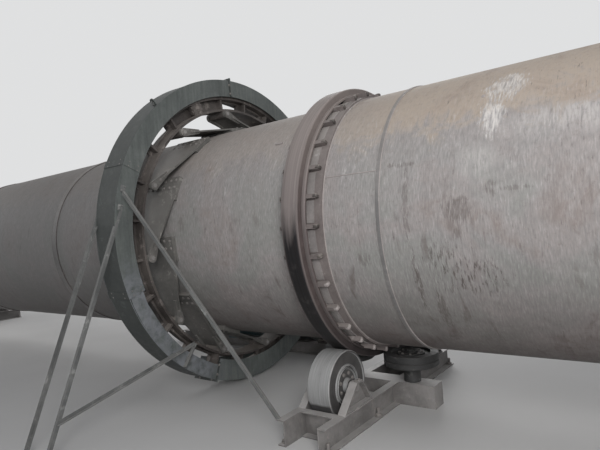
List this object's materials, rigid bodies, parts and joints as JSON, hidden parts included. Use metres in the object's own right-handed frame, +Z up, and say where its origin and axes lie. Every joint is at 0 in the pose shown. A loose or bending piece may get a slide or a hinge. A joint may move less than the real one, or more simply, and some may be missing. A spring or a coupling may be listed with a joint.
{
  "type": "rotary drum dryer",
  "caption": "Long steel drum on riding tyres, turned by a guarded girth gear and pinion, carried on support rollers and held endways by thrust rollers.",
  "frame": {"origin": "on the floor under the drum axis, at the middle of the thrust tyre", "axes": "+X along the drum towards the feed end, +Y to the drive side, +Z up"},
  "size_m": [18, 4.5095, 3.3517],
  "materials": {
    "shell_steel": "matte",
    "turned_steel": "satin",
    "cast_iron": "matte",
    "roller_steel": "satin",
    "guard_paint": "satin",
    "frame_paint": "matte",
    "drive_paint": "satin"
  },
  "bodies": {
    "base": {"coupling_guard": "drive_paint", "drive_frame": "frame_paint", "guard_far_bottom": "guard_paint", "guard_far_top": "guard_paint", "guard_flanges": "guard_paint", "guard_near_bottom": "guard_paint", "guard_near_middle": "guard_paint", "guard_near_top": "guard_paint", "guard_stays_far": "guard_paint", "guard_stays_near": "guard_paint", "motor": "drive_paint", "pinion_bearings": "cast_iron", "pinion_guard": "guard_paint", "reducer": "drive_paint", "roller_axles_rear": "roller_steel", "roller_axles_thrust": "roller_steel", "station_frame_rear": "frame_paint", "station_frame_thrust": "frame_paint", "thrust_roller_pins": "roller_steel"},
    "drum": {"girth_gear": "cast_iron", "lifting_flights": "shell_steel", "seam_straps": "shell_steel", "shell_discharge_end": "shell_steel", "shell_feed_end": "shell_steel", "shell_middle_course": "shell_steel", "shell_rear_course": "shell_steel", "shell_thrust_course": "shell_steel", "spring_plate_pins": "roller_steel", "spring_plates": "shell_steel", "tyre_pads_rear": "shell_steel", "tyre_pads_thrust": "shell_steel", "tyre_rear": "turned_steel", "tyre_thrust": "turned_steel", "wear_band_rear": "shell_steel", "wear_band_thrust": "shell_steel"},
    "pinion_shaft": {"pinion": "roller_steel", "slow_coupling": "roller_steel"},
    "thrust_roller_feed": {"thrust_roller_feed_side": "roller_steel"},
    "thrust_roller_gear": {"thrust_roller_gear_side": "roller_steel"},
    "roller_thrust_near": {"support_roller_thrust_near": "roller_steel"},
    "roller_thrust_far": {"support_roller_thrust_far": "roller_steel"},
    "roller_rear_near": {"support_roller_rear_near": "roller_steel"},
    "roller_rear_far": {"support_roller_rear_far": "roller_steel"}
  },
  "joints": [
    {"name": "drum_spin", "type": "hinge", "parent": "base", "child": "drum", "pos_m": [0, 0, 1.65], "axis": [1, 0, 0], "continuous": true},
    {"name": "roller_thrust_near_spin", "type": "hinge", "parent": "base", "child": "roller_thrust_near", "pos_m": [0, -0.73745, 0.34656], "axis": [1, 0, 0], "continuous": true},
    {"name": "roller_thrust_far_spin", "type": "hinge", "parent": "base", "child": "roller_thrust_far", "pos_m": [0, 0.73745, 0.34656], "axis": [1, 0, 0], "continuous": true},
    {"name": "roller_rear_near_spin", "type": "hinge", "parent": "base", "child": "roller_rear_near", "pos_m": [-10.4, -0.73745, 0.34656], "axis": [1, 0, 0], "continuous": true},
    {"name": "roller_rear_far_spin", "type": "hinge", "parent": "base", "child": "roller_rear_far", "pos_m": [-10.4, 0.73745, 0.34656], "axis": [1, 0, 0], "continuous": true},
    {"name": "thrust_roller_feed_spin", "type": "hinge", "parent": "base", "child": "thrust_roller_feed", "pos_m": [0.3233, 0, 0.4], "axis": [0, 0, 1], "continuous": true},
    {"name": "thrust_roller_gear_spin", "type": "hinge", "parent": "base", "child": "thrust_roller_gear", "pos_m": [-0.3233, 0, 0.4], "axis": [0, 0, 1], "continuous": true},
    {"name": "pinion_spin", "type": "hinge", "parent": "base", "child": "pinion_shaft", "pos_m": [-1.7, 1.24451, 0.40549], "axis": [1, 0, 0], "continuous": true}
  ],
  "couplings": [
    {"joint": "roller_thrust_near_spin", "follows": "drum_spin", "ratio": -4.386},
    {"joint": "roller_thrust_far_spin", "follows": "drum_spin", "ratio": -4.386},
    {"joint": "roller_rear_near_spin", "follows": "drum_spin", "ratio": -4.386},
    {"joint": "roller_rear_far_spin", "follows": "drum_spin", "ratio": -4.386},
    {"joint": "thrust_roller_feed_spin", "follows": "drum_spin", "ratio": -4.9275},
    {"joint": "thrust_roller_gear_spin", "follows": "drum_spin", "ratio": 4.9275},
    {"joint": "pinion_spin", "follows": "drum_spin", "ratio": -7.8}
  ]
}
